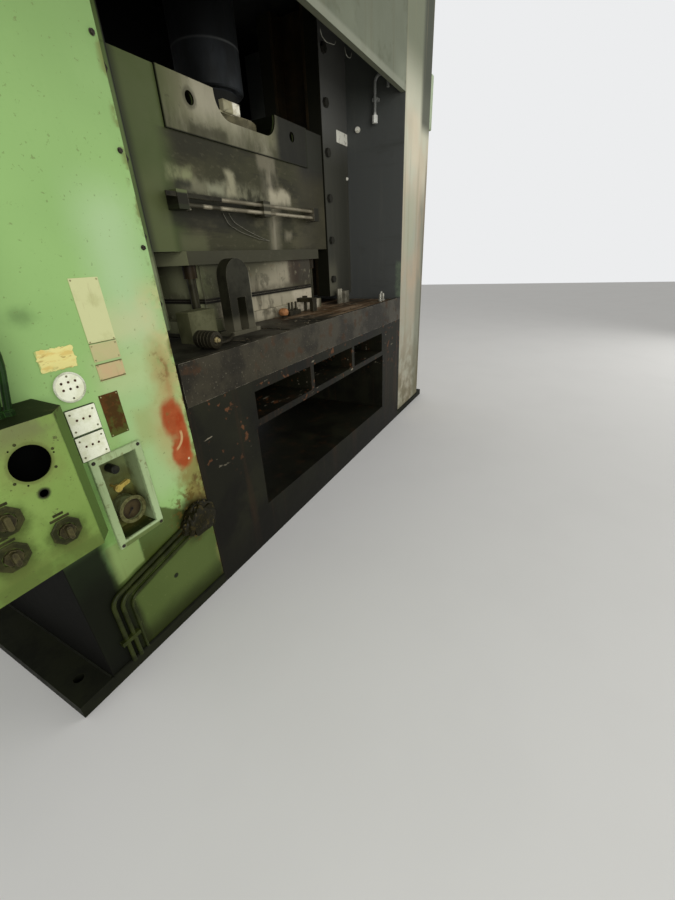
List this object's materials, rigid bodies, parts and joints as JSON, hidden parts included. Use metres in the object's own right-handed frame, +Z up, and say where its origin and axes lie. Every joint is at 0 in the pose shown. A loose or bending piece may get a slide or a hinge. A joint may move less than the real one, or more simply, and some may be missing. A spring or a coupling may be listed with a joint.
{
  "type": "hydraulic stamping press",
  "caption": "Straight-sided hydraulic stamping press: two uprights, crown and bed, a guided slide under one plunger, bolster with T-slots, dies, console and hydraulic unit on top.",
  "frame": {"origin": "on the floor under the axis of the main cylinder, midway between the uprights", "axes": "+X to the right seen from the front, +Y to the back, +Z up; the front looks to -Y"},
  "size_m": [4.504, 1.79, 4.75],
  "materials": {
    "green_paint": "worn light green enamel over primer",
    "cream_paint": "faded grey-green cream enamel",
    "olive_paint": "sooty olive green enamel",
    "dark_green_paint": "dark green enamel under soot",
    "sooty_steel": "oily sooty steel",
    "machined_steel": "machined steel, oiled",
    "die_steel": "ground tool steel, dull",
    "plunger_steel": "dark oily ground steel",
    "bare_plate": "worn beige plate",
    "bronze": "bronze, oiled",
    "seal_rubber": "dull",
    "blackened_bolts": "blackened",
    "beige_label": "aged blank plate",
    "white_socket": "aged",
    "black_knob": "worn",
    "yellow_lever": "worn",
    "gauge_case": "brown, dirty",
    "pipe_steel": "plain pipe",
    "unit_grey": "grey-green enamel",
    "motor_grey": "enamelled cast iron"
  },
  "bodies": {
    "press_frame": {"left_upright": "green_paint", "right_upright": "cream_paint", "crown_beam": "cream_paint", "top_deck": "cream_paint", "foot_plates": "dark_green_paint", "bed_beam": "dark_green_paint", "bolster_plate": "machined_steel", "bolster_front_rail": "machined_steel", "left_gib_housing": "olive_paint", "right_gib_housing": "sooty_steel", "gib_liners": "bronze", "hex_bolts": "blackened_bolts", "cylinder_barrel": "unit_grey", "cylinder_gland": "machined_steel", "gland_screws": "blackened_bolts", "rod_seals": "seal_rubber", "cylinder_cap": "unit_grey", "lower_die": "die_steel", "guide_posts": "machined_steel", "die_clamps": "blackened_bolts", "die_stand": "sooty_steel", "niche_box": "green_paint", "niche_frame": "green_paint", "gauge_body": "gauge_case", "marker_plates": "beige_label", "socket_plates": "white_socket", "base_pipes": "pipe_steel", "console_box": "green_paint", "console_panel": "green_paint", "console_bracket": "dark_green_paint", "console_conduits": "dark_green_paint", "hook_pipe": "pipe_steel", "junction_box": "green_paint", "oil_tank": "unit_grey", "tank_lid": "unit_grey", "filler_cap": "blackened_bolts", "motor_body": "motor_grey", "fan_cover": "motor_grey", "bell_housing": "motor_grey", "pump_body": "motor_grey", "valve_block": "machined_steel", "solenoid_valves": "unit_grey", "pressure_pipe": "pipe_steel", "suction_pipe": "pipe_steel"},
    "slide": {"slide_body": "olive_paint", "slide_cover_panel": "bare_plate", "plunger": "plunger_steel", "piston_seals": "seal_rubber", "retaining_ring": "bare_plate", "retaining_bolts": "blackened_bolts", "slide_bars": "pipe_steel", "upper_die": "die_steel", "guide_bushes": "bronze"},
    "knob_right": {"selector_knob_right": "black_knob"},
    "knob_left": {"selector_knob_left": "black_knob"},
    "knob_upper": {"selector_knob_upper": "black_knob"},
    "button": {"push_button": "black_knob"},
    "lever": {"valve_lever": "yellow_lever"},
    "needle": {"gauge_needle": "black_knob"},
    "rotor": {"motor_rotor": "machined_steel"}
  },
  "joints": [
    {"name": "slide_stroke", "type": "slide", "parent": "press_frame", "child": "slide", "axis": [0, 0, 1], "range_m": [0, 0.6]},
    {"name": "selector_right_turn", "type": "hinge", "parent": "press_frame", "child": "knob_right", "pos_m": [-1.992, -0.98, 0.895], "axis": [0, 1, 0], "range_deg": [-45, 45]},
    {"name": "selector_left_turn", "type": "hinge", "parent": "press_frame", "child": "knob_left", "pos_m": [-2.127, -0.98, 0.904], "axis": [0, 1, 0], "range_deg": [-45, 45]},
    {"name": "selector_upper_turn", "type": "hinge", "parent": "press_frame", "child": "knob_upper", "pos_m": [-2.108, -0.98, 1.004], "axis": [0, 1, 0], "range_deg": [-45, 45]},
    {"name": "button_press", "type": "slide", "parent": "press_frame", "child": "button", "axis": [0, 1, 0], "range_m": [0, 0.006], "stiffness_N_per_m": 400},
    {"name": "lever_swing", "type": "hinge", "parent": "press_frame", "child": "lever", "pos_m": [-1.694, -0.75, 0.806], "axis": [0, 1, 0], "range_deg": [-35, 35]},
    {"name": "needle_turn", "type": "hinge", "parent": "press_frame", "child": "needle", "pos_m": [-1.674, -0.75, 0.7], "axis": [0, 1, 0], "range_deg": [0, 270], "stiffness_Nm_per_rad": 0.002},
    {"name": "rotor_spin", "type": "hinge", "parent": "press_frame", "child": "rotor", "pos_m": [1.2, -0.25, 4.48], "axis": [1, 0, 0], "continuous": true}
  ]
}
